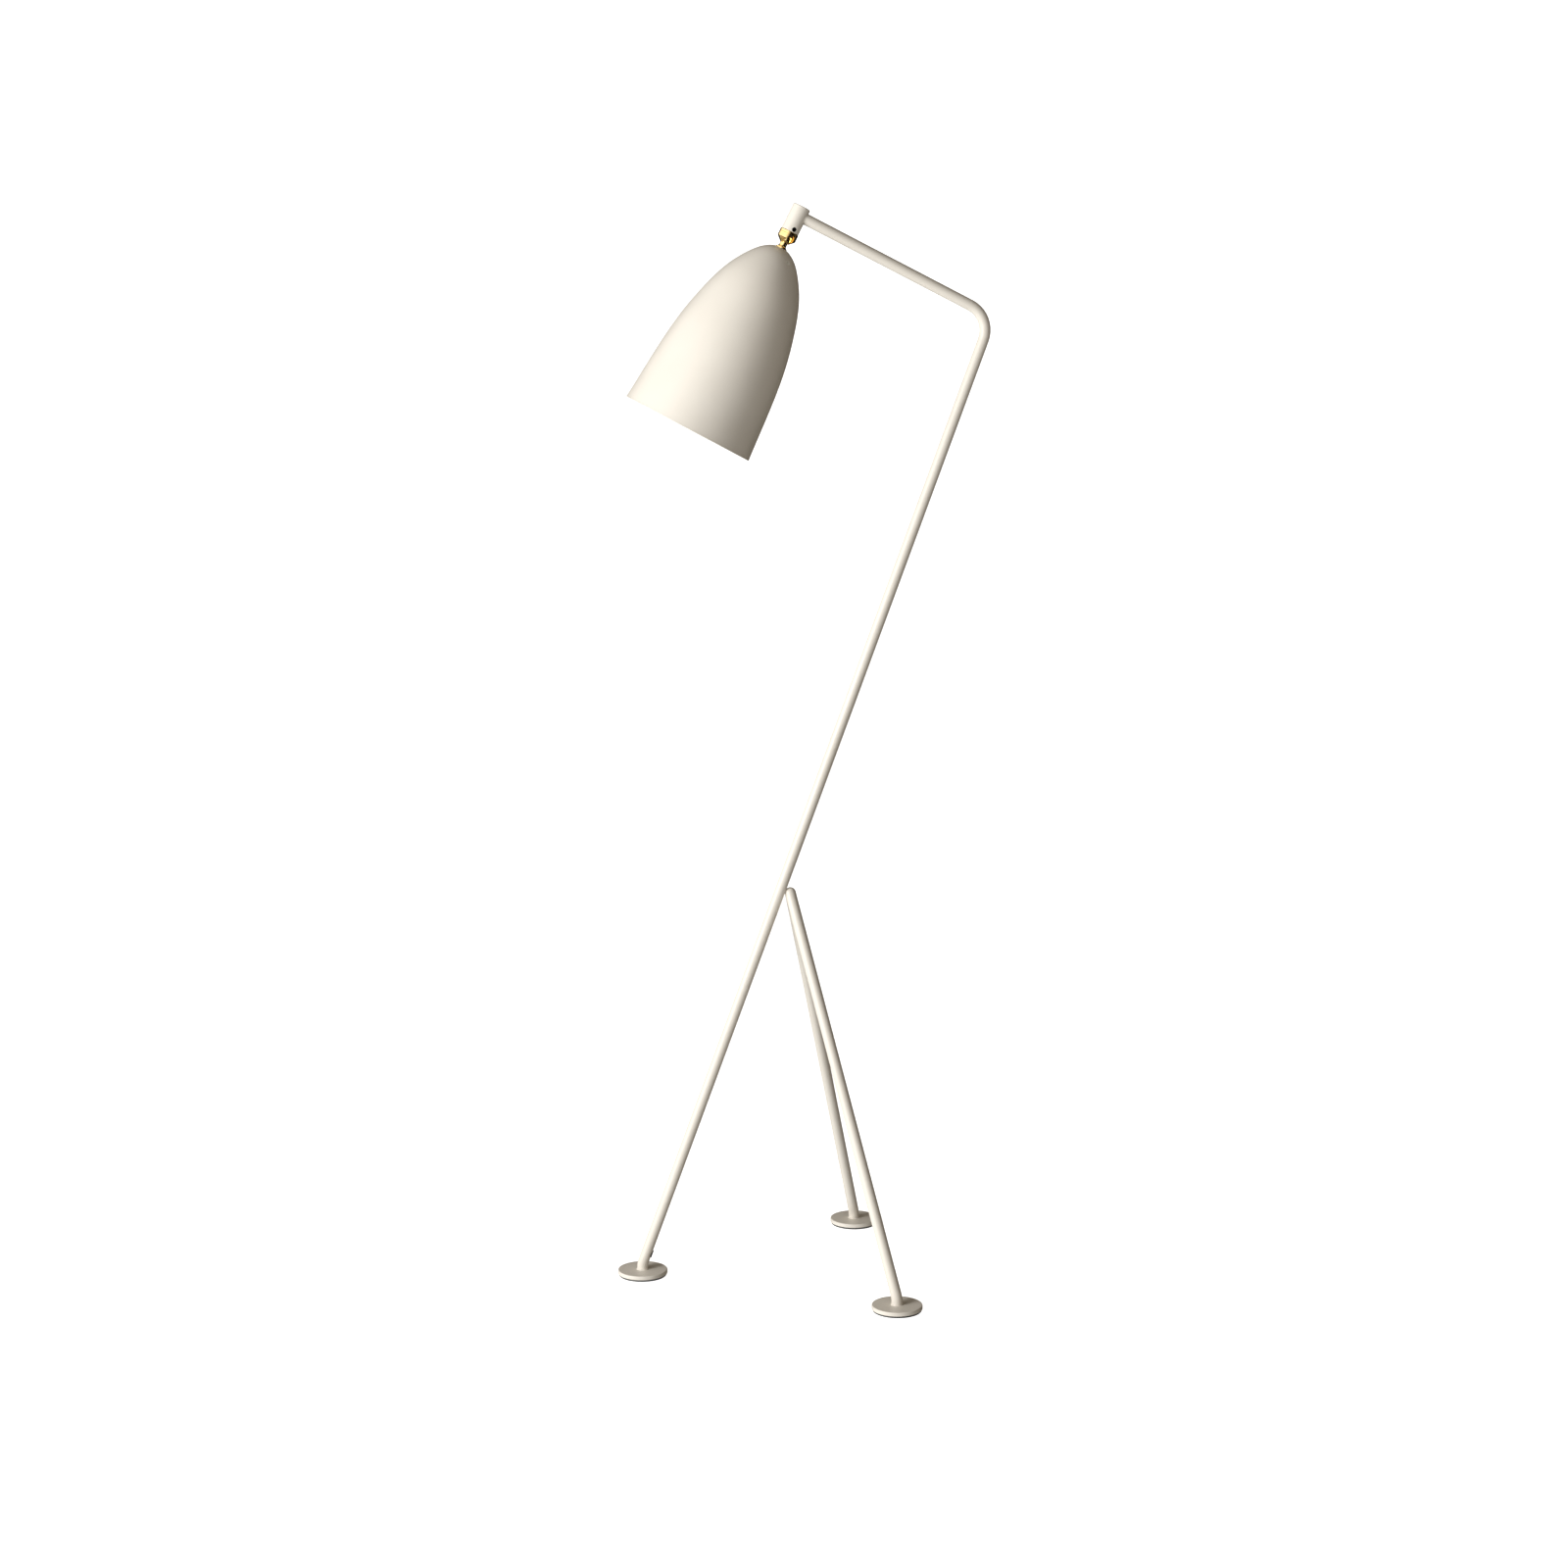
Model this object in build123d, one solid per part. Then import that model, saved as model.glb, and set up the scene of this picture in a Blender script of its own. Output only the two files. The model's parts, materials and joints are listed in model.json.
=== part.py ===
from build123d import *
import os
from math import atan2, cos, radians, sin, sqrt, tan

# Adjustable floor lamp, in millimetres.
# +Z is up, +X points to the rear, where the mast leans, and -Y is the near side.
# The origin is on the floor, under the middle of the lamp's outline.

# Tubes
TUBE_R = 6.5            # outer radius of every steel tube
BORE_R = 5.0            # inner radius
KINK_R = 25.0           # bend of a leg just above its foot
KINK_Z = 14.0           # height where a leg's line meets its foot's centre line
BEND_R = 32.0           # bend between the mast and the arm
BEND_REACH = 411.7      # from the front foot back to the corner of that bend
BEND_Z = 1131.5         # height of that corner
ARM_RISE = 26.8         # slope of the arm, degrees
ARM_LENGTH = 252.7      # from the bend's corner to the axis of the head housing

# Legs and feet
REAR_FOOT_REACH = 280.6     # from the front foot back to the rear feet
REAR_FOOT_Y = 163.8         # half of the distance between the rear feet
KNUCKLE_Z = 461.0           # height where the rear legs meet
KNUCKLE_OFFSET = 12.4       # from the mast's centre line to that point
KNUCKLE_ARM = 20.0          # how far the knuckle reaches down each leg
SPIGOT = 15.0               # how far the knuckle goes into each leg
FOOT_R = 29.5
PAD_R = 28.5
PAD_T = 2.5
DISC_T = 4.5
SCREW_R = 3.0               # foot screws, M6
SCREW_HEAD_R = 6.0
SCREW_HEAD_T = 3.2
PLUG_TOP = 14.0
PLUG_GAP = 0.04             # thread clearance of the plugs and spigots in the tubes
GROMMET_Z = 27.0            # where the cable leaves the front leg
GROMMET_BORE = 2.6
GROMMET_NECK = 3.6
GROMMET_FLANGE = 4.6
GROMMET_LIP = 1.0

# Head housing and ball joint: depths are measured down the housing's axis from the arm's axis
HOUSING_R = 10.5
HOUSING_TOP = -10.8
HOUSING_END = 20.3
HOUSING_BORE = 6.95
HOUSING_BORE_TOP = 8.8
ARM_SEAT = 5.2              # where the arm ends inside the housing
CABLE_R = 3.5
SHANK_R = 6.9
SHANK_TOP = 9.2
SOCKET_TOP = 20.6
SOCKET_END = 23.6
CAP_R = 11.0
SPRING_FLOOR = 21.4
EDGE = 0.3                  # chamfer of the brass edges
SPIGOT_R = 9.0
CHAMBER_R = 8.0
SET_SCREW_DEPTH = 17.0
SET_SCREW_R = 2.7
SET_SCREW_TURN = 14.5       # the set screw looks this far round from -Y to the rear
GROOVE_R = 5.6
GROOVE_HALF = 1.9
BALL_DEPTH = 28.7
BALL_R = 7.0
SEAT_R = 7.1                # spherical seats of the ball
CAP_EDGE = 29.4
CAP_END = 34.5
CAP_MOUTH_R = 5.1
SLOT_HALF = 4.7
SLOT_TURN = 20.0            # the slot looks this far round from -Y to the rear

# Stem, shade and lampholder: depths are measured down the shade's axis from the ball's centre
SHADE_TILT = 28.0           # of the shade's axis from the vertical, degrees
NECK_R = 4.3
NECK_END = 9.2
STEM_R = 6.6                # of the collar under the neck's flare
STEM_FLARE = 11.6
STEM_BORE = 2.2
STEM_SHOULDER = 12.9
THREAD_R = 5.0
THREAD_HOLE = 5.05
THREAD_END = 30.0
SHADE_TOP = 9.9             # depth of the tip that the shade's curve would have
SHADE_LENGTH = 233.0
SHADE_R = 78.8
SHADE_WALL = 1.2
CROWN_R = 8.0               # flat top of the shade
CROWN_DROP = 3.1
# the shade's curve, as fractions of its length and of its radius
SHADE_CURVE = [(0.038, 0.238), (0.10, 0.407), (0.20, 0.585), (0.35, 0.742),
               (0.50, 0.848), (0.70, 0.928), (1, 1)]
VENT_R = 2.2
VENT_DROP = 41.2            # where a vent's axis, which rises outwards at 45 degrees, leaves the shade's axis
VENT_TURN = 29.2
VENT_COUNT = 3
WASHER_T = 1.0
SEAM_TURN = 120.0           # keeps the seam of the revolved shell clear of the vents
HOLDER_TOP = 19.2
HOLDER_R = 19.5
HOLDER_SPLIT = 44.0
HOLDER_END = 74.0
HOLDER_WALL = 1.8
HOLDER_NECK_R = 9.0
HOLDER_SHOULDER = 36.0      # depth where the cap's dome reaches its full radius
RIB_COUNT = 24
CORE_TOP = 37.0
CORE_END = 43.5
TERMINAL_OFFSET = 10.0
TERMINAL_R = 1.5
TERMINAL_LENGTH = 4.0
BULB_TIP = 46.0
BULB_LENGTH = 105.0
BULB_R = 30.0
BULB_NECK_R = 14.0
SHELL_R = 13.9              # of the lampholder's threaded shell
CAP_THREAD_R = 13.0         # of the bulb's cap
CONTACT_R = 4.6
INSULATOR_R = 9.6
PITCH = 3.6
THREAD_WAVE = 0.45          # half of the height of a rolled thread
SHEET = 0.4                 # wall of the rolled threads
BULB_NECK = 71.0            # depth where the bulb's cap ends and its glass shows
FILAMENT_HALF = 11.0
FILAMENT_DEPTH = 108.0
LEAD_R = 0.4
COIL_R = 0.5
BULB_WALL = 0.8

# Everything that follows from them
DISC_TOP = PAD_T + DISC_T
LEAN = atan2(BEND_REACH, BEND_Z - KINK_Z)
MAST_DIR = Vector(sin(LEAN), 0, cos(LEAN))
ARM_DIR = Vector(-cos(radians(ARM_RISE)), 0, sin(radians(ARM_RISE)))
HALF_TURN = MAST_DIR.get_angle(ARM_DIR) / 2
BEND_CENTRE = BEND_REACH + (ARM_DIR - MAST_DIR).normalized().X * BEND_R / cos(radians(HALF_TURN))
BEND_BACK = BEND_CENTRE + BEND_R + TUBE_R
FRONT_X = -(BEND_BACK - FOOT_R) / 2
FRONT_FOOT = Vector(FRONT_X, 0, 0)
REAR_FEET = {
    "near": Vector(FRONT_X + REAR_FOOT_REACH, -REAR_FOOT_Y, 0),
    "far": Vector(FRONT_X + REAR_FOOT_REACH, REAR_FOOT_Y, 0),
}
FEET = {"front": FRONT_FOOT, **REAR_FEET}
FRONT_KINK = FRONT_FOOT + Vector(0, 0, KINK_Z)
BEND_CORNER = Vector(FRONT_X + BEND_REACH, 0, BEND_Z)
ARM_END = BEND_CORNER + ARM_DIR * ARM_LENGTH
MAST_NORMAL = Vector(cos(LEAN), 0, -sin(LEAN))
KNUCKLE = Vector(FRONT_X + (KNUCKLE_Z - KINK_Z) * tan(LEAN) + KNUCKLE_OFFSET / cos(LEAN), 0, KNUCKLE_Z)
HOUSING = Location(ARM_END, (0, ARM_RISE, 0))
BALL = (HOUSING * Location((0, 0, -BALL_DEPTH))).position
HEAD = Location(BALL, (0, SHADE_TILT, 0))
SLOT_DIR = Vector(sin(radians(SLOT_TURN)), -cos(radians(SLOT_TURN)), 0)
SCREW_DIR = Vector(sin(radians(SET_SCREW_TURN)), -cos(radians(SET_SCREW_TURN)), 0)
CROWN = SHADE_TOP + CROWN_DROP
INSULATOR_TOP = BULB_TIP + 2.0
BULB_CAP_TOP = BULB_TIP + 5.2
GLASS_TOP = BULB_NECK - 8.0


def outline(*points):
    """Closed face in the XZ plane from (radius, depth) pairs."""
    return make_face(Polyline(*[(r, 0, -depth) for r, depth in points], close=True))


def turned(*points):
    """Solid of revolution about Z from (radius, depth) pairs."""
    return revolve(outline(*points), Axis.Z)


def ring(outer, inner, top, end):
    """Round plate between two depths, with a central hole unless the inner radius is nought."""
    return turned((inner, top), (outer, top), (outer, end), (inner, end))


def rod(start, direction, length, radius):
    """Round bar from a point along a direction."""
    return extrude(Plane(origin=start, z_dir=direction) * Circle(radius), length)


def bar_along(path, radius):
    section = Plane(origin=path @ 0, z_dir=path % 0) * Circle(radius)
    return sweep(section, path=path)


def tube_along(path):
    return bar_along(path, TUBE_R) - bar_along(path, BORE_R)


# Stand

def exit_axis():
    """Point on the front leg's centre line, and direction, of the cable's way out."""
    point = FRONT_KINK + MAST_DIR * ((GROMMET_Z - KINK_Z) / cos(LEAN))
    return point, MAST_NORMAL


def main_tube():
    """Front leg, mast and arm: one bent tube, with the cable's exit hole near its foot."""
    foot_end = FRONT_FOOT + Vector(0, 0, DISC_TOP)
    arm_end = ARM_END - ARM_DIR * ARM_SEAT
    path = FilletPolyline(foot_end, FRONT_KINK, BEND_CORNER, arm_end, radius=[KINK_R, BEND_R])
    point, way_out = exit_axis()
    return tube_along(path) - rod(point, way_out, 2 * TUBE_R, GROMMET_NECK)


def leg_direction(foot):
    return (foot + Vector(0, 0, KINK_Z) - KNUCKLE).normalized()


def rear_leg(foot):
    """Straight tube from the knuckle, turned upright just above its foot."""
    top = KNUCKLE + leg_direction(foot) * KNUCKLE_ARM
    path = FilletPolyline(top, foot + Vector(0, 0, KINK_Z), foot + Vector(0, 0, DISC_TOP), radius=KINK_R)
    return tube_along(path)


def leg_knuckle():
    """Rounded top of the two rear legs, with a spigot into each, coped to the mast."""
    body = Pos(*KNUCKLE) * Sphere(TUBE_R)
    for foot in REAR_FEET.values():
        way = leg_direction(foot)
        body += rod(KNUCKLE, way, KNUCKLE_ARM, TUBE_R)
        body += rod(KNUCKLE + way * KNUCKLE_ARM, way, SPIGOT, BORE_R - PLUG_GAP)
    return body - rod(FRONT_KINK, MAST_DIR, BEND_Z / 2, TUBE_R)


def foot_disc():
    """Painted steel disc with a rounded top edge and a countersunk hole."""
    rounding = 1.2
    disc = ring(FOOT_R, SCREW_R, -DISC_TOP, -PAD_T)
    top_edge = disc.edges().filter_by(GeomType.CIRCLE).group_by(Axis.Z)[-1].sort_by(SortBy.RADIUS)[-1]
    disc = fillet(top_edge, rounding)
    return disc - screw_head()


def screw_head():
    cone_top = PAD_T + SCREW_HEAD_T
    return turned((0, -PAD_T), (SCREW_HEAD_R, -PAD_T), (SCREW_R, -cone_top), (0, -cone_top))


def foot_screw():
    """Countersunk M6 screw with a hexagon recess."""
    hex_across = 4.0
    hex_depth = 2.2
    tip = PLUG_TOP - 1.5
    screw = screw_head() + turned((0, -PAD_T), (SCREW_R, -PAD_T), (SCREW_R, -tip), (0, -tip))
    return screw - extrude(Pos(0, 0, PAD_T) * RegularPolygon(hex_across / 2, 6, major_radius=False), hex_depth)


def foot_pad():
    """Rubber pad with a chamfered lower edge and a shallow ring groove underneath."""
    bevel = 0.5
    groove_r, groove_width, groove_depth = PAD_R - 5, 2.0, 0.6
    pad = turned((0, 0), (PAD_R - bevel, 0), (PAD_R, -bevel), (PAD_R, -PAD_T), (0, -PAD_T))
    return pad - ring(groove_r, groove_r - groove_width, -groove_depth, 0)


def foot_plug():
    """Threaded plug in the foot of each tube, narrower where the tube starts to bend."""
    fit = BORE_R - PLUG_GAP
    narrow = BORE_R - 0.4
    step = DISC_TOP + 2.4
    return turned((SCREW_R, -DISC_TOP), (fit, -DISC_TOP), (fit, -step),
                  (narrow, -step), (narrow, -PLUG_TOP), (SCREW_R, -PLUG_TOP))


def cable_grommet():
    """Rubber grommet: a lip outside the tube, a neck through its wall and a lip inside."""
    point, way_out = exit_axis()
    start = point - MAST_DIR * 2 * TUBE_R

    def sleeve(outer, inner):
        return rod(start, MAST_DIR, 4 * TUBE_R, outer) - rod(start, MAST_DIR, 4 * TUBE_R, inner)

    neck = sleeve(TUBE_R, BORE_R) & rod(point, way_out, 2 * TUBE_R, GROMMET_NECK)
    outside = sleeve(TUBE_R + GROMMET_LIP, TUBE_R) & rod(point, way_out, 2 * TUBE_R, GROMMET_FLANGE)
    inside = sleeve(BORE_R, BORE_R - GROMMET_LIP) & rod(point, way_out, 2 * TUBE_R, GROMMET_FLANGE - 0.4)
    return neck + outside + inside - rod(point, way_out, 2 * TUBE_R, GROMMET_BORE)


# Head housing and ball joint

def head_housing():
    """Turned housing, closed at the top, bored from below and from the arm's side."""
    top_rounding, end_rounding = 1.2, 0.3
    housing = turned((0, HOUSING_TOP), (HOUSING_R, HOUSING_TOP), (HOUSING_R, HOUSING_END), (0, HOUSING_END))
    housing = fillet(housing.edges().group_by(Axis.Z)[-1], top_rounding)
    housing = fillet(housing.edges().group_by(Axis.Z)[0], end_rounding)
    housing -= turned((0, HOUSING_BORE_TOP), (HOUSING_BORE, HOUSING_BORE_TOP),
                      (HOUSING_BORE, HOUSING_END), (0, HOUSING_END))
    housing -= turned((0, -CABLE_R), (CABLE_R, -CABLE_R), (CABLE_R, HOUSING_BORE_TOP), (0, HOUSING_BORE_TOP))
    housing -= rod((ARM_SEAT, 0, 0), (1, 0, 0), HOUSING_R, TUBE_R)
    housing -= rod((0, 0, 0), (1, 0, 0), HOUSING_R, CABLE_R)
    return housing - rod((0, 0, -SET_SCREW_DEPTH), SCREW_DIR, 2 * HOUSING_R, SET_SCREW_R)


def set_screw():
    """Black grub screw whose point runs in the socket's groove."""
    point_r = 1.4
    hex_across, hex_depth = 3.0, 1.8
    axis_point = Vector(0, 0, -SET_SCREW_DEPTH)
    tip = GROOVE_R + 0.4
    start = HOUSING_BORE + 0.15
    outside = HOUSING_R - 0.5
    screw = rod(axis_point + SCREW_DIR * start, SCREW_DIR, outside - start, SET_SCREW_R)
    screw += rod(axis_point + SCREW_DIR * tip, SCREW_DIR, outside - hex_depth - tip, point_r)
    face = Plane(origin=axis_point + SCREW_DIR * outside, z_dir=-SCREW_DIR)
    return screw - extrude(face * RegularPolygon(hex_across / 2, 6, major_radius=False), hex_depth)


def ball_socket():
    """Brass socket: a grooved shank that turns in the housing, and a flange with a threaded mouth."""
    groove_top = SET_SCREW_DEPTH - GROOVE_HALF
    groove_end = SET_SCREW_DEPTH + GROOVE_HALF
    return turned((CABLE_R, SHANK_TOP), (SHANK_R, SHANK_TOP), (SHANK_R, groove_top), (GROOVE_R, groove_top),
                  (GROOVE_R, groove_end), (SHANK_R, groove_end), (SHANK_R, SOCKET_TOP),
                  (CAP_R - EDGE, SOCKET_TOP), (CAP_R, SOCKET_TOP + EDGE), (CAP_R, SOCKET_END - EDGE), (CAP_R - EDGE, SOCKET_END),
                  (SPIGOT_R, SOCKET_END), (SPIGOT_R, SPRING_FLOOR), (CABLE_R, SPRING_FLOOR))


def ball_cap():
    """Brass cap, screwed into the socket, with a conical end, a round mouth and a slot up its side."""
    spigot_top = SPRING_FLOOR + 0.3
    chamber_end = BALL_DEPTH - 2.6
    rim = CAP_MOUTH_R + 0.5
    cap = turned((0, spigot_top), (SPIGOT_R, spigot_top), (SPIGOT_R, SOCKET_END), (CAP_R - EDGE, SOCKET_END),
                 (CAP_R, SOCKET_END + EDGE), (CAP_R, CAP_EDGE - EDGE), (CAP_R - EDGE, CAP_EDGE),
                 (rim, CAP_END - EDGE), (rim - EDGE, CAP_END), (0, CAP_END))
    cap -= ring(CHAMBER_R, 0, SPRING_FLOOR, chamber_end)
    cap -= ring(SEAT_R, 0, SPRING_FLOOR, BALL_DEPTH)
    cap -= Pos(0, 0, -BALL_DEPTH) * Sphere(SEAT_R)
    cap -= ring(CAP_MOUTH_R, 0, BALL_DEPTH, CAP_END + 1)
    cap -= rod((0, 0, -BALL_DEPTH), SLOT_DIR, 2 * CAP_R, SLOT_HALF)
    slot = Pos(CAP_R, 0, -BALL_DEPTH - CAP_R) * Box(2 * CAP_R, 2 * SLOT_HALF, 2 * CAP_R)
    return cap - slot.rotate(Axis.Z, SLOT_TURN - 90)


def ball_seat():
    """Nylon friction ring on top of the ball."""
    top = SPRING_FLOOR + 0.9
    ball = Pos(0, 0, -BALL_DEPTH) * Sphere(SEAT_R)
    return ring(CHAMBER_R - 0.1, CABLE_R + 1.0, top, BALL_DEPTH - 3.2) - ball


def ball_spring():
    """Conical spring washer between the socket and the friction ring."""
    inner, outer, thickness, rise = CABLE_R + 1.2, CHAMBER_R - 0.3, 0.35, 0.5
    top = SPRING_FLOOR + 0.02
    return turned((inner, top), (outer, top + rise), (outer, top + rise + thickness), (inner, top + thickness))


def ball_stem():
    """Brass ball with a neck, a flared collar and a threaded end, bored for the cable."""
    flat = 1.0
    bevel = 0.6
    ball = Sphere(BALL_R) - Pos(0, 0, BALL_R) * Box(2 * BALL_R, 2 * BALL_R, 2 * flat)
    flare = ThreePointArc((NECK_R, 0, -NECK_END), (NECK_R + 0.8, 0, -NECK_END - 1.6), (STEM_R, 0, -STEM_FLARE))
    rest = Polyline((STEM_R, 0, -STEM_FLARE), (STEM_R, 0, -STEM_SHOULDER), (THREAD_R, 0, -STEM_SHOULDER),
                    (THREAD_R, 0, bevel - THREAD_END), (THREAD_R - bevel, 0, -THREAD_END),
                    (0, 0, -THREAD_END), (0, 0, 0), (NECK_R, 0, 0), (NECK_R, 0, -NECK_END))
    stem = revolve(make_face([*flare.edges(), *rest.edges()]), Axis.Z)
    return ball + stem - ring(STEM_BORE, 0, -BALL_R, THREAD_END)


# Shade

def shade():
    """Spun shade of even wall, with a flat crown and vent holes round it."""
    outer = [Vector(CROWN_R, 0, -CROWN)]
    outer += [Vector(r * SHADE_R, 0, -SHADE_TOP - u * SHADE_LENGTH) for u, r in SHADE_CURVE]
    outside = Spline(*outer)
    inner = []
    for point in outer:
        along = outside.tangent_at(outside.param_at_point(point))
        inner.append(point + Vector(along.Z, 0, -along.X) * SHADE_WALL)
    inner[0] = Vector(inner[0].X, 0, -CROWN - SHADE_WALL)
    inner[-1] = Vector(inner[-1].X, 0, outer[-1].Z)
    inside = Spline(*inner)
    crown = Polyline(inner[0], (THREAD_HOLE, 0, -CROWN - SHADE_WALL), (THREAD_HOLE, 0, -CROWN), outer[0])
    rim = Line(outer[-1], inner[-1])
    shell = revolve(make_face([*outside.edges(), *rim.edges(), *inside.edges(), *crown.edges()]), Axis.Z)
    shell = Rot(0, 0, SEAM_TURN) * shell
    vent = Rot(0, 45, 0) * Pos(0, 0, SHADE_R / 2) * Cylinder(VENT_R, SHADE_R)
    vent = Pos(0, 0, -SHADE_TOP - VENT_DROP) * vent
    for k in range(VENT_COUNT):
        shell -= Rot(0, 0, VENT_TURN - 90 + k * 360 / VENT_COUNT) * vent
    return shell


def shade_washer():
    washer_r = 7.6
    return ring(washer_r, THREAD_HOLE, CROWN + SHADE_WALL, CROWN + SHADE_WALL + WASHER_T)


def shade_locknut():
    """Hexagon nut that clamps the shade."""
    across, thickness = 14.0, 3.5
    top = CROWN + SHADE_WALL + WASHER_T
    nut = extrude(Pos(0, 0, -top) * RegularPolygon(across / 2, 6, major_radius=False), -thickness)
    return nut - ring(THREAD_HOLE, 0, top, top + thickness)


# Lampholder

def holder_cap():
    """Domed cap with a threaded bush for the stem."""
    bush_r = 7.5
    bush_end = HOLDER_TOP + 5.0
    neck_end = HOLDER_TOP + 2.5
    inner_r = HOLDER_R - HOLDER_WALL
    inner_shoulder = HOLDER_SHOULDER + 0.6
    outside = ThreePointArc((HOLDER_NECK_R, 0, -neck_end), (16.6, 0, -27.5), (HOLDER_R, 0, -HOLDER_SHOULDER))
    inside = ThreePointArc((bush_r, 0, -bush_end), (15.0, 0, -29.3), (inner_r, 0, -inner_shoulder))
    line = Polyline((HOLDER_NECK_R, 0, -neck_end), (HOLDER_NECK_R, 0, -HOLDER_TOP),
                    (THREAD_HOLE, 0, -HOLDER_TOP), (THREAD_HOLE, 0, -THREAD_END),
                    (bush_r, 0, -THREAD_END), (bush_r, 0, -bush_end))
    rim = Polyline((inner_r, 0, -inner_shoulder), (inner_r, 0, -HOLDER_SPLIT),
                   (HOLDER_R, 0, -HOLDER_SPLIT), (HOLDER_R, 0, -HOLDER_SHOULDER))
    return revolve(make_face([*outside.edges(), *line.edges(), *inside.edges(), *rim.edges()]), Axis.Z)


def holder_skirt():
    """Ribbed sleeve round the threaded shell, with a rounded lip."""
    inner = HOLDER_R - HOLDER_WALL
    lip_r, lip_t, bevel = 15.6, 1.8, 1.2
    groove_r = 0.9
    groove_length = HOLDER_END - HOLDER_SPLIT - 8
    skirt = turned((inner, HOLDER_SPLIT), (HOLDER_R, HOLDER_SPLIT), (HOLDER_R, HOLDER_END - bevel),
                   (HOLDER_R - bevel, HOLDER_END), (lip_r, HOLDER_END), (lip_r, HOLDER_END - lip_t),
                   (inner, HOLDER_END - lip_t))
    groove = Pos(HOLDER_R + groove_r / 3, 0, -(HOLDER_SPLIT + HOLDER_END) / 2)
    groove *= Cylinder(groove_r, groove_length)
    for k in range(RIB_COUNT):
        skirt -= Rot(0, 0, k * 360 / RIB_COUNT) * groove
    return skirt


def holder_core():
    """Ceramic insert that carries the contacts, with two holes for the wires and two for the screws."""
    wire_hole_r = 1.6
    core = ring(HOLDER_R - HOLDER_WALL - 0.1, 0, CORE_TOP, CORE_END)
    for side in (-1, 1):
        core -= Pos(0, TERMINAL_OFFSET * side, -CORE_TOP) * Cylinder(wire_hole_r, 20)
        core -= Pos(TERMINAL_OFFSET * side, 0, -CORE_TOP) * Cylinder(TERMINAL_R, 2 * TERMINAL_LENGTH)
    return core


def terminal_screws():
    """Two pan-head screws that clamp the wires."""
    head_r, head_t = 2.7, 1.8
    slot_width, slot_depth = 0.7, 0.8
    screw = ring(head_r, 0, CORE_TOP - head_t, CORE_TOP)
    screw += ring(TERMINAL_R, 0, CORE_TOP, CORE_TOP + TERMINAL_LENGTH)
    screw -= Pos(0, 0, head_t - CORE_TOP) * Box(3 * head_r, slot_width, 2 * slot_depth)
    return Compound(children=[Pos(TERMINAL_OFFSET * side, 0, 0) * screw for side in (-1, 1)])


def threaded_wall(radius, wall, top, end):
    """Thin shell with rolled thread rings."""
    steps = int((end - top) / (PITCH / 2))
    wave = [(radius + (THREAD_WAVE if k % 2 else -THREAD_WAVE), top + k * PITCH / 2) for k in range(steps + 1)]
    return turned(*wave, *[(r - wall, depth) for r, depth in reversed(wave)])


def screw_shell():
    """Brass threaded shell of the lampholder."""
    return threaded_wall(SHELL_R, SHEET, CORE_END + 0.1, HOLDER_END - 3.0)


def centre_contact():
    """Springy brass tongue that presses on the bulb's tip."""
    strip, half_width = 0.5, 2.5
    foot, bend, tip, reach = -7.0, -3.0, 4.0, BULB_TIP + 0.1
    side = Polyline((foot, 0, -CORE_END), (bend, 0, -CORE_END), (tip, 0, strip - reach), (tip, 0, -reach),
                    (bend - 0.2, 0, -CORE_END - strip), (foot, 0, -CORE_END - strip), close=True)
    return extrude(make_face(side), half_width, both=True)


# Bulb

def bulb_contact():
    """Soldered tip, slightly domed."""
    edge = BULB_TIP + 1.2
    return turned((0, BULB_TIP), (CONTACT_R - 1.2, BULB_TIP + 0.3), (CONTACT_R, edge),
                  (CONTACT_R, INSULATOR_TOP), (0, INSULATOR_TOP))


def bulb_insulator():
    """Dark glass ring between the tip and the threaded cap."""
    return turned((0, INSULATOR_TOP), (CONTACT_R, INSULATOR_TOP), (INSULATOR_R, INSULATOR_TOP + 2.4),
                  (INSULATOR_R, BULB_CAP_TOP), (0, BULB_CAP_TOP))


def bulb_cap():
    """Threaded metal cap of the bulb."""
    cap = threaded_wall(CAP_THREAD_R, SHEET, BULB_CAP_TOP, BULB_NECK)
    return cap + ring(CAP_THREAD_R - 0.5, 5.0, BULB_CAP_TOP, BULB_CAP_TOP + SHEET)


def bulb_outline(inset):
    """Half outline of the glass, moved inwards by a wall thickness."""
    collar_r = CAP_THREAD_R - 1.6 - inset
    waist = BULB_NECK + 3.0
    waist_r = BULB_NECK_R - inset
    middle = BULB_TIP + BULB_LENGTH - BULB_R
    radius = BULB_R - inset
    line = Polyline((0, 0, -GLASS_TOP - inset), (collar_r, 0, -GLASS_TOP - inset),
                    (collar_r, 0, 1.0 - BULB_NECK), (waist_r, 0, -waist))
    flare = Spline((waist_r, 0, -waist), (20.5 - inset, 0, -waist - 15.0), (radius, 0, -middle),
                   tangents=[(0.1, 0, -1), (0, 0, -1)])
    end = ThreePointArc((radius, 0, -middle), (radius / sqrt(2), 0, -middle - radius / sqrt(2)),
                        (0, 0, -middle - radius))
    axis = Line((0, 0, -middle - radius), (0, 0, -GLASS_TOP - inset))
    return make_face([*line.edges(), *flare.edges(), *end.edges(), *axis.edges()])


def bulb_glass():
    return revolve(bulb_outline(0), Axis.Z) - revolve(bulb_outline(BULB_WALL), Axis.Z)


def bulb_mount():
    """Glass stem inside the bulb, moulded round the wires."""
    top = GLASS_TOP + BULB_WALL + 0.05
    stem = turned((0, top), (CAP_THREAD_R - 3.0, top), (4.0, top + 9.0), (3.2, top + 24.0), (1.2, top + 26.0),
                  (1.2, top + 34.0), (0, top + 34.0))
    for lead in bulb_leads().solids():
        stem -= lead
    return stem


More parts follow.
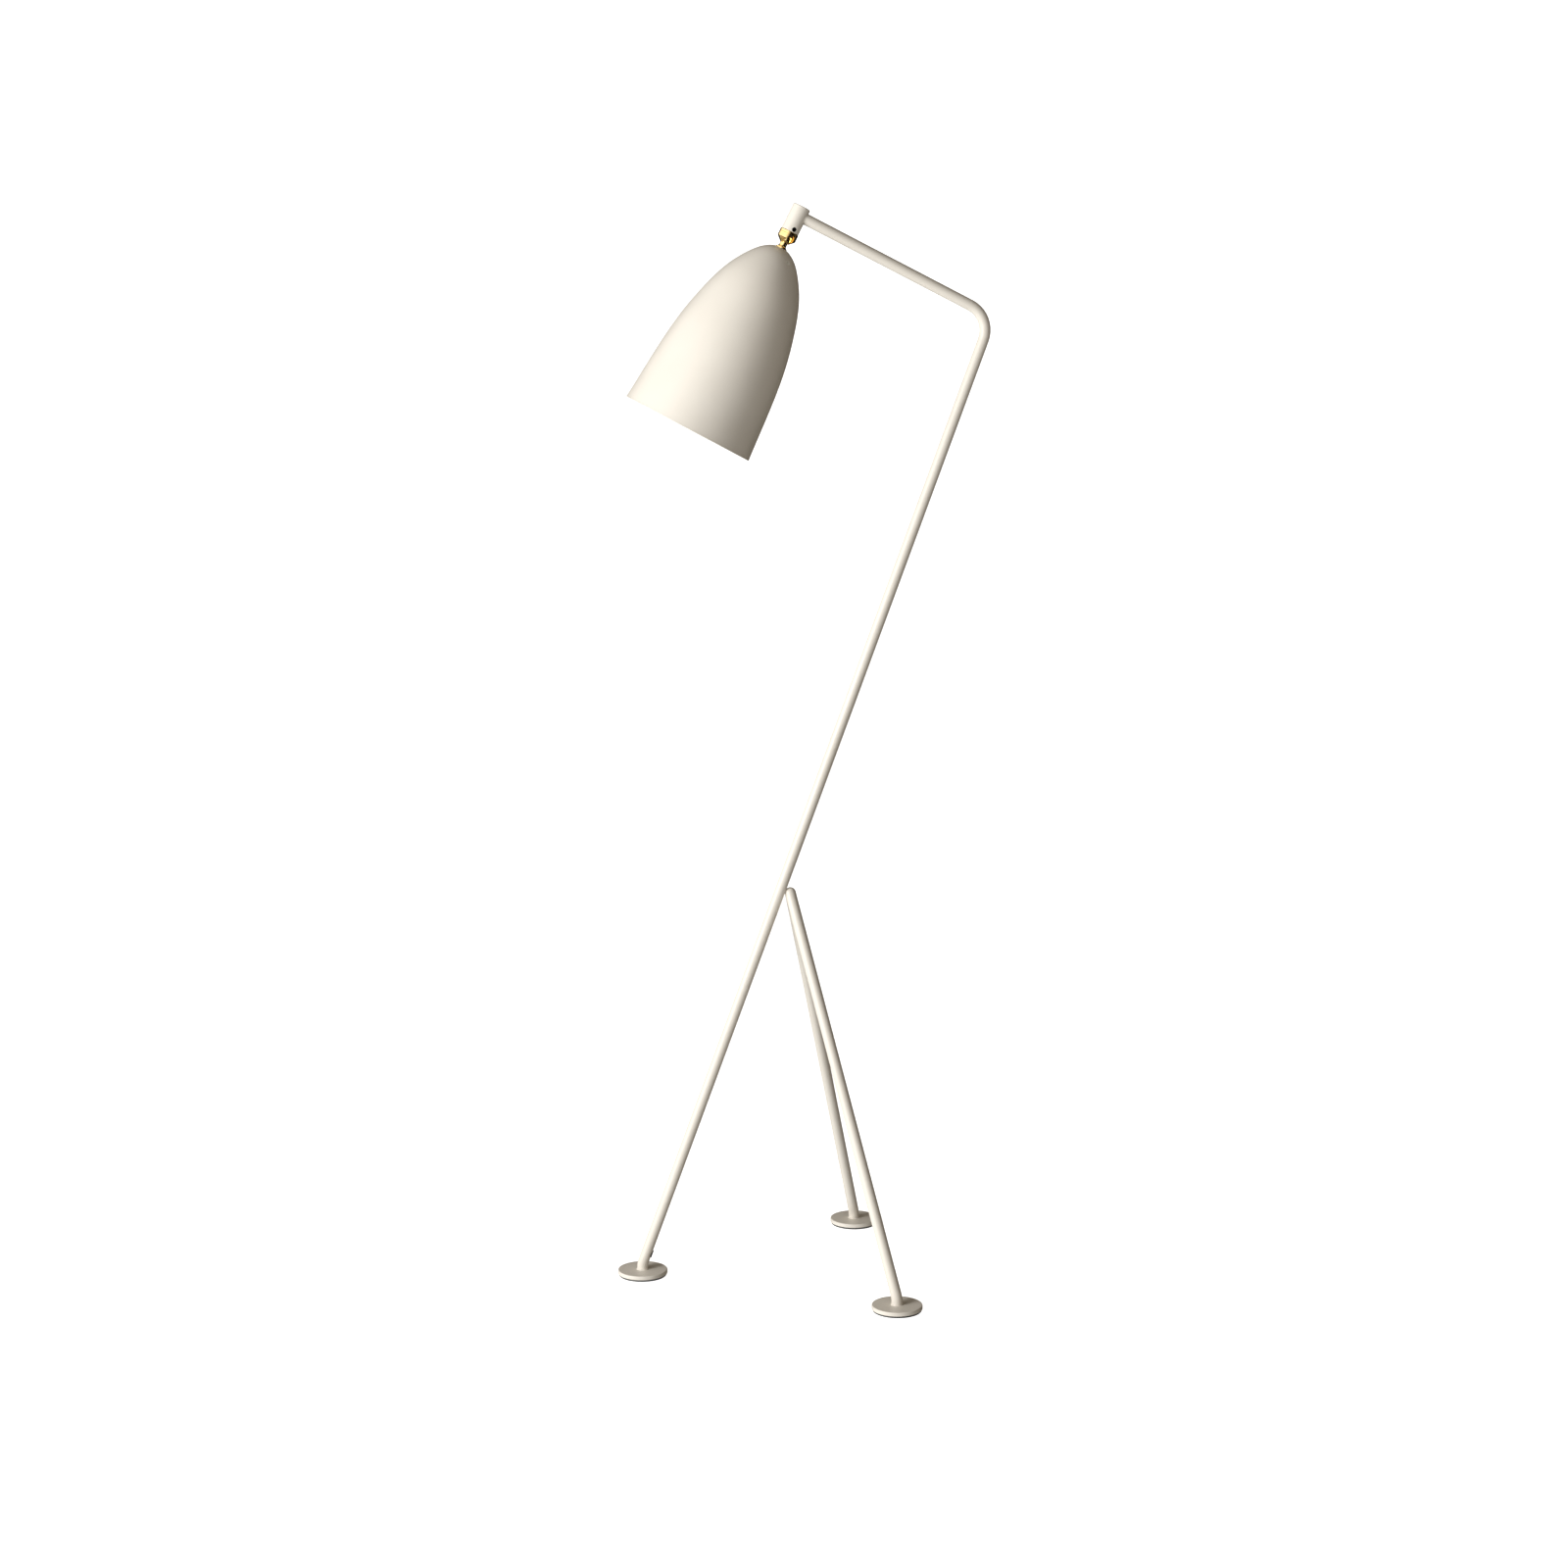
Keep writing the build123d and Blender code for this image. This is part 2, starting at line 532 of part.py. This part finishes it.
def bulb_leads():
    """Two nickel wires that hold the filament."""
    leads = []
    for side in (-1, 1):
        foot = Vector(2.0 * side, 0, -BULB_NECK - 16.5)
        reach = Vector(FILAMENT_HALF * side, 0, -FILAMENT_DEPTH) - foot
        leads.append(rod(foot, reach, reach.length, LEAD_R))
    return Compound(children=leads)


def bulb_filament():
    """Coiled filament, as a plain arc of the coil's outer size."""
    sag = 4.0
    top = FILAMENT_DEPTH + COIL_R
    arc = ThreePointArc((-FILAMENT_HALF, 0, -top), (0, 0, -FILAMENT_DEPTH - sag), (FILAMENT_HALF, 0, -top))
    return bar_along(arc, COIL_R)


STAND_NODES = {
    "main_tube": main_tube(),
    "leg_knuckle": leg_knuckle(),
    "cable_grommet": cable_grommet(),
    "foot_screws": Compound(children=[Pos(*foot) * foot_screw() for foot in FEET.values()]),
}
for side, foot in REAR_FEET.items():
    STAND_NODES["rear_leg_" + side] = rear_leg(foot)
for side, foot in FEET.items():
    STAND_NODES["foot_disc_" + side] = Pos(*foot) * foot_disc()
    STAND_NODES["foot_pad_" + side] = Pos(*foot) * foot_pad()
    STAND_NODES["foot_plug_" + side] = Pos(*foot) * foot_plug()

# each made about its own axis, then set at the end of the arm
HOUSING_NODES = {piece.__name__: piece() for piece in (
    head_housing, set_screw, ball_socket, ball_cap, ball_seat, ball_spring)}

# each made about the ball's centre, then tilted with the shade
HEAD_NODES = {piece.__name__: piece() for piece in (
    ball_stem, shade, shade_washer, shade_locknut, holder_cap, holder_skirt, holder_core, terminal_screws,
    screw_shell, centre_contact, bulb_contact, bulb_insulator, bulb_cap, bulb_glass, bulb_mount, bulb_leads,
    bulb_filament)}

os.makedirs("parts", exist_ok=True)
for name, shape in STAND_NODES.items():
    export_step(shape, f"parts/{name}.step")
for name, shape in HOUSING_NODES.items():
    export_step(HOUSING * shape, f"parts/{name}.step")
for name, shape in HEAD_NODES.items():
    export_step(HEAD * shape, f"parts/{name}.step")
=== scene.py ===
import json
from math import cos, pi, sin, sqrt

import bpy
from mathutils import Euler, Matrix, Vector


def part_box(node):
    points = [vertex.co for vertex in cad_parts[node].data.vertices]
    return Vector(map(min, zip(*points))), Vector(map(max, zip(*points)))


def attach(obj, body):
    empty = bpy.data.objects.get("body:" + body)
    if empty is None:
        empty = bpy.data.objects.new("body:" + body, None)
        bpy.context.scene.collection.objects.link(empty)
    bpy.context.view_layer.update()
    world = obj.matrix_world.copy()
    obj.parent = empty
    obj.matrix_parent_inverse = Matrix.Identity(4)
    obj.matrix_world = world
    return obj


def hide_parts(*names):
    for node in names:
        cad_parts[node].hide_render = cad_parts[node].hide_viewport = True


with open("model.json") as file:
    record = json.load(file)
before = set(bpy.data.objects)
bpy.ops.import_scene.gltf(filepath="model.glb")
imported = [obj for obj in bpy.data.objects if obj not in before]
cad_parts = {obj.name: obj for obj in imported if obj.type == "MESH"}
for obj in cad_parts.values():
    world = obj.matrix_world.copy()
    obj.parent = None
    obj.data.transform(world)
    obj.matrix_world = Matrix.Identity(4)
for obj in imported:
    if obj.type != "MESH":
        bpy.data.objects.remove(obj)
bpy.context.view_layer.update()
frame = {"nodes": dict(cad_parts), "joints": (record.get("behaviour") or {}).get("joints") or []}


# Places and sizes, in metres. Depths are measured down an axis from the ball's centre.

JOINTS = {joint["name"]: joint for joint in frame["joints"]}
BALL = Vector(JOINTS["socket_swivel"]["pos_m"])
SWIVEL_AXIS = Vector(JOINTS["socket_swivel"]["axis"])
SHADE_AXIS = Vector(JOINTS["shade_turn"]["axis"])
BALL_DROP = 0.0287              # down the housing, from the arm's axis to the ball's centre
ARM_END = BALL - SWIVEL_AXIS * BALL_DROP
TUBE_R = 0.0065
HOUSING_R = 0.0105
MOUTH_R = 0.0788

HEM_INSET = 0.0010              # from the mouth's radius in to the hem's centre line
HEM_R = 0.0011
ARM_WELD_R = 0.0004
FOOT_WELD_R = 0.0009

THREAD_PITCH = 0.0036
THREAD_HEIGHT = 0.00042
THREAD_WALL = 0.0004
THREAD_STEPS = 90
THREAD_END = 0.0710
CAP_THREAD_R = 0.0130
CAP_THREAD_TOP = 0.0512
CAP_NECK_R = 0.0050
SHELL_THREAD_R = 0.0139
SHELL_THREAD_TOP = 0.0436

FILAMENT_HALF = 0.0110
FILAMENT_DEPTH = 0.1080
FILAMENT_SAG = 0.0040
COIL_R = 0.00042
COIL_WIRE_R = 0.00011
COIL_TURNS = 46
COIL_STEPS = 14                 # points in each turn of the coil


# Materials

CREAM = (0.800, 0.754, 0.676)
DEEP_CREAM = (0.772, 0.722, 0.642)
INNER_WHITE = (0.86, 0.85, 0.81)
DEEP_INNER_WHITE = (0.83, 0.82, 0.77)
SATIN = 0.40
GLOW = 0.25                     # the bulb is lit, dimly


class Maker:
    """A procedural material: its node tree, its shader, and short ways to add nodes."""

    def __init__(self, name):
        self.material = bpy.data.materials.new(name)
        self.material.use_nodes = True
        self.tree = self.material.node_tree
        self.shader = self.tree.nodes["Principled BSDF"]
        coordinates = self.tree.nodes.new("ShaderNodeTexCoord").outputs
        self.place = coordinates["Object"]
        self.normal = coordinates["Normal"]

    def put(self, target, value):
        if isinstance(value, bpy.types.NodeSocket):
            self.tree.links.new(value, target)
        else:
            target.default_value = value

    def add(self, kind, settings=(), **inputs):
        node = self.tree.nodes.new(kind)
        for key, value in dict(settings).items():
            setattr(node, key, value)
        for key, value in inputs.items():
            self.put(node.inputs[key.replace("_", " ")], value)
        return node

    def noise(self, scale, detail=3.0, vector=None):
        node = self.add("ShaderNodeTexNoise", Scale=scale, Detail=detail, Vector=vector or self.place)
        return node.outputs["Fac"]

    def spread(self, value, low, high, start=0.3, end=0.7):
        """Maps a noise value to a range."""
        node = self.add("ShaderNodeMapRange")
        for key, number in zip(("From Min", "From Max", "To Min", "To Max"), (start, end, low, high)):
            node.inputs[key].default_value = number
        self.put(node.inputs["Value"], value)
        return node.outputs["Result"]

    def mix(self, factor, first, second):
        """Blends two colours, each a triple or another node's output."""
        node = self.add("ShaderNodeMix", settings={"data_type": "RGBA"})
        self.put(node.inputs["Factor"], factor)
        for socket, colour in zip((node.inputs[6], node.inputs[7]), (first, second)):
            self.put(socket, (*colour, 1.0) if isinstance(colour, tuple) else colour)
        return node.outputs[2]

    def clouded(self, scale, first, second):
        """A colour that drifts between two others, in patches of one size."""
        return self.mix(self.spread(self.noise(scale), 0.0, 1.0), first, second)

    def bump(self, height, distance, under=None):
        node = self.add("ShaderNodeBump", Height=height, Distance=distance, Strength=1.0)
        if under:
            self.put(node.inputs["Normal"], under)
        return node.outputs["Normal"]

    def orange_peel(self):
        peel = self.bump(self.noise(1300.0, 1.0), 0.000018)
        return self.bump(self.noise(4200.0, 2.0), 0.000008, under=peel)

    def satin(self):
        """Roughness of the powder coat."""
        return self.spread(self.noise(45.0), SATIN - 0.04, SATIN + 0.05)

    def vector(self, operation, first, second):
        node = self.add("ShaderNodeVectorMath", settings={"operation": operation})
        self.put(node.inputs[0], first)
        self.put(node.inputs[1], second)
        return node

    def from_ball(self, axis):
        """The offset from the ball's centre, and how far that is down an axis."""
        offset = self.vector("SUBTRACT", self.place, BALL).outputs[0]
        return offset, self.vector("DOT_PRODUCT", offset, axis).outputs["Value"]

    def set(self, **values):
        for key, value in values.items():
            self.put(self.shader.inputs[key.replace("_", " ")], value)
        return self.material


def paint():
    """Satin powder coat: fine orange peel, slight clouding of colour and gloss."""
    m = Maker("cream_paint")
    return m.set(Base_Color=m.clouded(14.0, CREAM, DEEP_CREAM), Roughness=m.satin(), Normal=m.orange_peel())


def shade_paint():
    """The cream coat outside and a white one inside, told apart by which way the surface faces."""
    m = Maker("shade_paint")
    offset, depth = m.from_ball(SHADE_AXIS)
    foot = m.add("ShaderNodeVectorMath", settings={"operation": "SCALE"}, Scale=depth)
    foot.inputs[0].default_value = SHADE_AXIS
    outward = m.vector("SUBTRACT", offset, foot.outputs[0]).outputs[0]
    facing = m.vector("DOT_PRODUCT", outward, m.normal).outputs["Value"]
    is_inside = m.spread(facing, 1.0, 0.0, -0.0002, 0.0002)
    outside = m.clouded(14.0, CREAM, DEEP_CREAM)
    inside = m.clouded(14.0, INNER_WHITE, DEEP_INNER_WHITE)
    return m.set(Base_Color=m.mix(is_inside, outside, inside), Roughness=m.satin(), Normal=m.orange_peel())


def metal(name, light, dark, rough, axis=None):
    """Bare metal with fine turning lines, or fine random scratches where it has no axis."""
    m = Maker(name)
    if axis:
        along = m.add("ShaderNodeCombineXYZ", X=m.from_ball(axis)[1]).outputs[0]
        lines = m.noise(5200.0, 2.0, along)
    else:
        lines = m.noise(2600.0)
    return m.set(Base_Color=m.clouded(220.0, light, dark), Metallic=1.0, Normal=m.bump(lines, 0.000006),
                 Roughness=m.spread(m.noise(320.0), rough * 0.75, rough * 1.5))


def plain(name, light, dark, rough, grain, depth):
    """Rubber, moulded plastic or glaze: a grain of one size with slight clouding."""
    m = Maker(name)
    return m.set(Base_Color=m.clouded(60.0, light, dark), Normal=m.bump(m.noise(grain), depth),
                 Roughness=m.spread(m.noise(150.0), rough - 0.06, rough + 0.06))


def frosted_glass():
    m = Maker("bulb_glass")
    colour = m.clouded(90.0, (0.97, 0.97, 0.95), (0.93, 0.93, 0.90))
    return m.set(Base_Color=colour, Roughness=m.spread(m.noise(300.0), 0.28, 0.4), IOR=1.45,
                 Transmission_Weight=0.75, Normal=m.bump(m.noise(2500.0), 0.00001),
                 Emission_Color=(1.0, 0.93, 0.80, 1.0), Emission_Strength=GLOW)


def clear_glass():
    m = Maker("clear_glass")
    colour = m.clouded(200.0, (0.95, 0.97, 0.96), (0.88, 0.92, 0.91))
    return m.set(Base_Color=colour, Roughness=m.spread(m.noise(400.0), 0.02, 0.08), IOR=1.5,
                 Transmission_Weight=1.0)


PAINT = paint()
SHADE_PAINT = shade_paint()
BRASS = metal("turned_brass", (0.90, 0.71, 0.37), (0.82, 0.60, 0.27), 0.13, SWIVEL_AXIS)
STEM_BRASS = metal("stem_brass", (0.90, 0.71, 0.37), (0.82, 0.60, 0.27), 0.13, SHADE_AXIS)
SHELL_BRASS = metal("pressed_brass", (0.85, 0.65, 0.32), (0.72, 0.52, 0.24), 0.25)
STEEL = metal("zinc_steel", (0.62, 0.62, 0.60), (0.52, 0.53, 0.52), 0.32)
NICKEL = metal("nickel", (0.70, 0.68, 0.64), (0.60, 0.58, 0.54), 0.24)
TUNGSTEN = metal("tungsten_wire", (0.30, 0.29, 0.28), (0.22, 0.21, 0.20), 0.45)
BLACK_STEEL = metal("black_oxide", (0.030, 0.030, 0.032), (0.018, 0.018, 0.018), 0.42)
PAD_RUBBER = plain("pad_rubber", (0.060, 0.058, 0.055), (0.040, 0.040, 0.038), 0.80, 1500.0, 0.0002)
DARK_RUBBER = plain("grommet_rubber", (0.040, 0.036, 0.032), (0.028, 0.026, 0.024), 0.62, 2600.0, 0.00006)
HOLDER = plain("moulded_white", (0.80, 0.79, 0.75), (0.75, 0.74, 0.69), 0.38, 2200.0, 0.00005)
NYLON = plain("dark_nylon", (0.060, 0.050, 0.045), (0.045, 0.038, 0.034), 0.45, 1800.0, 0.00003)
PORCELAIN = plain("porcelain", (0.86, 0.85, 0.80), (0.80, 0.79, 0.74), 0.18, 700.0, 0.00004)
DARK_GLASS = plain("dark_glass", (0.020, 0.020, 0.026), (0.014, 0.014, 0.018), 0.15, 1200.0, 0.00002)
BULB_GLASS = frosted_glass()
CLEAR_GLASS = clear_glass()

FINISHES = {
    PAINT: ("main_tube", "leg_knuckle", "rear_leg_near", "rear_leg_far", "head_housing",
            "foot_disc_front", "foot_disc_near", "foot_disc_far"),
    SHADE_PAINT: ("shade",),
    PAD_RUBBER: ("foot_pad_front", "foot_pad_near", "foot_pad_far"),
    STEEL: ("foot_plug_front", "foot_plug_near", "foot_plug_far", "foot_screws", "shade_washer",
            "terminal_screws", "ball_spring", "bulb_contact"),
    DARK_RUBBER: ("cable_grommet",),
    BLACK_STEEL: ("set_screw",),
    BRASS: ("ball_socket", "ball_cap"),
    STEM_BRASS: ("ball_stem", "shade_locknut"),
    NYLON: ("ball_seat",),
    HOLDER: ("holder_cap", "holder_skirt"),
    PORCELAIN: ("holder_core",),
    SHELL_BRASS: ("screw_shell", "centre_contact"),
    DARK_GLASS: ("bulb_insulator",),
    NICKEL: ("bulb_cap", "bulb_leads"),
    BULB_GLASS: ("bulb_glass",),
    CLEAR_GLASS: ("bulb_mount",),
    TUNGSTEN: ("bulb_filament",),
}


def finish_nodes():
    for material, names in FINISHES.items():
        for name in names:
            mesh = frame["nodes"][name].data
            mesh.materials.clear()
            mesh.materials.append(material)


# Pieces with more detail than the CAD nodes

def frame_at(origin, down):
    """Axes at a point: local -Z along down, local X near the world's X."""
    z = -Vector(down).normalized()
    y = z.cross(Vector((1.0, 0.0, 0.0))).normalized()
    turn = Matrix((y.cross(z), y, z)).transposed()
    return Matrix.Translation(origin) @ turn.to_4x4()


HEAD = frame_at(BALL, SHADE_AXIS)
HOUSING = frame_at(ARM_END, SWIVEL_AXIS)


def piece(name, points, faces, material, body, slot, replaces=()):
    mesh = bpy.data.meshes.new(name)
    mesh.from_pydata(points, [], faces)
    mesh.validate()
    smooth(mesh)
    mesh.materials.append(material)
    shape = bpy.data.objects.new(name, mesh)
    bpy.context.collection.objects.link(shape)
    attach(shape, body)
    if replaces:
        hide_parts(*replaces)


def smooth(mesh):
    for polygon in mesh.polygons:
        polygon.use_smooth = True


def around(turns):
    """Angles of points spaced evenly round a circle."""
    return [2 * pi * k / turns for k in range(turns)]


def wrapped_quads(rows, turns):
    """Faces of a grid of points whose rows close on themselves."""
    faces = []
    for row in range(rows - 1):
        near, far = row * turns, (row + 1) * turns
        faces += [(near + k, near + (k + 1) % turns, far + (k + 1) % turns, far + k) for k in range(turns)]
    return faces


def tube_mesh(path, radius, turns=12, closed=False, ripple=0.0, ripples=0):
    """Points and faces of a round bead along a path, with weld ripples if asked."""
    points = []
    count = len(path)
    for k, centre in enumerate(path):
        ahead = path[(k + 1) % count] if closed or k < count - 1 else path[k]
        behind = path[k - 1] if closed or k else path[k]
        way = (ahead - behind).normalized()
        side = way.orthogonal().normalized() if k == 0 else (side - way * side.dot(way)).normalized()
        lift = way.cross(side)
        size = radius * (1.0 + ripple * abs(sin(pi * ripples * k / count)))
        points += [centre + (side * cos(angle) + lift * sin(angle)) * size for angle in around(turns)]
    faces = wrapped_quads(count, turns)
    last = (count - 1) * turns
    if closed:
        faces += [(last + j, last + (j + 1) % turns, (j + 1) % turns, j) for j in range(turns)]
    else:
        faces += [tuple(range(turns))[::-1], tuple(range(last, last + turns))]
    return points, faces


def lathe(profile, turns=96, wave=None):
    """Turned shell in the head, from (radius, depth) pairs; wave(angle, depth) adds to the radius."""
    points = []
    for r, depth in profile:
        for angle in around(turns):
            reach = r + (wave(angle, depth) if wave else 0.0)
            points.append(HEAD @ Vector((reach * cos(angle), reach * sin(angle), -depth)))
    return points, wrapped_quads(len(profile), turns)


def rolled_hem():
    """Turned-in hem round the shade's mouth, where the spun sheet is rolled over."""
    shade = frame["nodes"]["shade"].data
    mouth = max((vertex.co - BALL).dot(SHADE_AXIS) for vertex in shade.vertices)
    middle_r = MOUTH_R - HEM_INSET
    middle = mouth - HEM_R * 0.9
    angles = [step * pi / 9 for step in range(19)]
    profile = [(middle_r + HEM_R * cos(angle), middle + HEM_R * sin(angle)) for angle in angles]
    piece("shade_hem", *lathe(profile, turns=240), SHADE_PAINT, "shade", "paint")


def arm_weld():
    """Painted bead of weld where the arm's tube meets the round housing."""
    turn = HOUSING.to_3x3()
    ring = []
    for angle in around(96):
        y = TUBE_R * sin(angle)
        ring.append(ARM_END + turn @ Vector((sqrt(HOUSING_R ** 2 - y ** 2), y, TUBE_R * cos(angle))))
    bead = tube_mesh(ring, ARM_WELD_R, closed=True, ripple=0.12, ripples=40)
    piece("arm_weld", *bead, PAINT, "stand", "paint")


def foot_welds():
    """Painted bead of weld where each tube stands on its foot disc."""
    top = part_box("foot_disc_front")[1][2]
    for side in ("front", "near", "far"):
        low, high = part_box("foot_disc_" + side)
        middle = Vector(((low[0] + high[0]) / 2, (low[1] + high[1]) / 2, top))
        ring = [middle + Vector((cos(angle), sin(angle), 0.0)) * TUBE_R for angle in around(72)]
        bead = tube_mesh(ring, FOOT_WELD_R, closed=True, ripple=0.12, ripples=24)
        piece("foot_weld_" + side, *bead, PAINT, "stand", "paint")


def thread_wave(angle, depth):
    return THREAD_HEIGHT * sin(2 * pi * depth / THREAD_PITCH + angle)


def threaded_sleeve(radius, top, neck=()):
    """Thin sleeve with a helical thread, and a neck's points where its top is drawn in."""
    drop = THREAD_END - top
    depths = [top + drop * k / THREAD_STEPS for k in range(THREAD_STEPS + 1)]
    outside = [(radius, depth) for depth in depths]
    inside = [(radius - THREAD_WALL, depth) for depth in reversed(depths)]
    return lathe(outside + inside + list(neck) + outside[:1], wave=thread_wave)


def threads():
    """The bulb's cap and the lampholder's shell, with real helical threads."""
    cap = threaded_sleeve(CAP_THREAD_R, CAP_THREAD_TOP, neck=[(CAP_NECK_R, CAP_THREAD_TOP)])
    piece("bulb_cap_threads", *cap, NICKEL, "shade", "cap_nickel", replaces=("bulb_cap",))
    shell = threaded_sleeve(SHELL_THREAD_R, SHELL_THREAD_TOP)
    piece("screw_shell_threads", *shell, SHELL_BRASS, "shade", "shell_brass", replaces=("screw_shell",))


def filament():
    """Coiled wire that sags between the two leads."""
    coil = []
    steps = COIL_TURNS * COIL_STEPS
    for k in range(steps + 1):
        along = k / steps * 2 - 1
        angle = 2 * pi * COIL_TURNS * k / steps
        height = -FILAMENT_DEPTH - FILAMENT_SAG * (1 - along * along) + COIL_R * sin(angle)
        coil.append(HEAD @ Vector((FILAMENT_HALF * along, COIL_R * cos(angle), height)))
    wire = tube_mesh(coil, COIL_WIRE_R, turns=6)
    piece("filament_coil", *wire, TUNGSTEN, "shade", "tungsten", replaces=("bulb_filament",))


# Studio

FLOOR_R = 5.0
CURVE_R = 2.0
BOWL_HEIGHT = 7.0
KEY_PLACE = (-2.9, -1.7, 1.3)
KEY_TARGET = (0.0, 0.0, 0.8)
KEY_SIZE = 1.5
KEY_POWER = 95.0
SOFT_SOURCE = (-0.80, -0.42, -0.42)
SOFT_STOPS = ((0.0, (0.17, 0.146, 0.114)), (0.78, (0.98, 0.98, 0.97)))
GLOSS_SOURCE = (-0.90, -0.35, 0.20)
GLOSS_STOPS = ((0.20, (0.010, 0.007, 0.005)), (0.68, (1.7, 1.66, 1.55)))
BEHIND = (1.02, 1.02, 1.02, 1.0)
WORLD_STRENGTH = 0.98


def bowl():
    """Seamless white floor and wall, seen only by the camera."""
    profile = [(0.0, 0.0), (FLOOR_R, 0.0)]
    for k in range(1, 13):
        rise = k * pi / 24
        profile.append((FLOOR_R + CURVE_R * sin(rise), CURVE_R - CURVE_R * cos(rise)))
    profile.append((FLOOR_R + CURVE_R, BOWL_HEIGHT))
    angles = around(96)
    corners = [(r * cos(angle), r * sin(angle), z) for r, z in profile for angle in angles]
    mesh = bpy.data.meshes.new("sweep")
    mesh.from_pydata(corners, [], wrapped_quads(len(profile), len(angles)))
    mesh.flip_normals()
    smooth(mesh)
    mesh.materials.append(backdrop_material())
    sweep = bpy.data.objects.new("sweep", mesh)
    bpy.context.collection.objects.link(sweep)
    sweep.visible_diffuse = False
    sweep.visible_glossy = False
    sweep.visible_transmission = False


def backdrop_material():
    """White paper that glows a little, and lets a camera under the floor look through."""
    m = Maker("studio_sweep")
    colour = m.clouded(1.5, (0.93, 0.93, 0.925), (0.92, 0.92, 0.915))
    m.set(Base_Color=colour, Roughness=0.9, Emission_Color=colour, Emission_Strength=1.0)
    below = m.add("ShaderNodeNewGeometry").outputs["Backfacing"]
    clear = m.add("ShaderNodeBsdfTransparent").outputs[0]
    surface = m.add("ShaderNodeMixShader")
    for socket, source in zip(surface.inputs, (below, m.shader.outputs[0], clear)):
        m.put(socket, source)
    m.put(m.tree.nodes["Material Output"].inputs["Surface"], surface.outputs[0])
    return m.material


def key_lamp():
    data = bpy.data.lights.new("key", "AREA")
    data.size = KEY_SIZE
    data.energy = KEY_POWER
    light = bpy.data.objects.new("key", data)
    light.location = KEY_PLACE
    light.rotation_euler = (Vector(KEY_TARGET) - Vector(KEY_PLACE)).to_track_quat("-Z", "Y").to_euler()
    bpy.context.collection.objects.link(light)


def surroundings():
    """A world bright on the left and dim on the right, with more contrast in gloss and plain white behind."""
    world = bpy.data.worlds.new("studio")
    bpy.context.scene.world = world
    world.use_nodes = True
    tree = world.node_tree
    rays = tree.nodes.new("ShaderNodeLightPath").outputs
    way = tree.nodes.new("ShaderNodeTexCoord").outputs["Generated"]
    light = choice(tree, rays["Is Glossy Ray"], glow_from(tree, way, SOFT_SOURCE, SOFT_STOPS))
    tree.links.new(glow_from(tree, way, GLOSS_SOURCE, GLOSS_STOPS), light.inputs[7])
    seen = choice(tree, rays["Is Camera Ray"], light.outputs[2])
    seen.inputs[7].default_value = BEHIND
    tree.links.new(seen.outputs[2], tree.nodes["Background"].inputs["Color"])
    tree.nodes["Background"].inputs["Strength"].default_value = WORLD_STRENGTH


def glow_from(tree, way, source, stops):
    """Colour that ramps up towards one side of the world."""
    side = tree.nodes.new("ShaderNodeVectorMath")
    side.operation = "DOT_PRODUCT"
    tree.links.new(way, side.inputs[0])
    side.inputs[1].default_value = Vector(source).normalized()
    ramp = tree.nodes.new("ShaderNodeValToRGB")
    tree.links.new(side.outputs["Value"], ramp.inputs["Fac"])
    for stop, (position, colour) in zip(ramp.color_ramp.elements, stops):
        stop.position = position
        stop.color = (*colour, 1.0)
    return ramp.outputs["Color"]


def choice(tree, chooser, usual):
    """A mix that gives the usual colour, or the one at its socket 7 for the rays that the chooser picks."""
    mix = tree.nodes.new("ShaderNodeMix")
    mix.data_type = "RGBA"
    tree.links.new(chooser, mix.inputs["Factor"])
    tree.links.new(usual, mix.inputs[6])
    return mix


def camera():
    """Camera a little above the lamp's head, seen almost side-on."""
    pan, tilt = 0.13, 0.168
    data = bpy.data.cameras.new("camera")
    data.lens = 68.96
    data.sensor_width = 36.0
    eye = bpy.data.objects.new("camera", data)
    eye.location = (-0.4694, -3.4374, 1.1790)
    eye.rotation_euler = Euler((pi / 2 - tilt, 0.0, -pan))
    bpy.context.collection.objects.link(eye)
    bpy.context.scene.camera = eye


finish_nodes()
rolled_hem()
arm_weld()
foot_welds()
threads()
filament()
bowl()
key_lamp()
surroundings()
camera()
bpy.context.scene.view_settings.view_transform = "Standard"
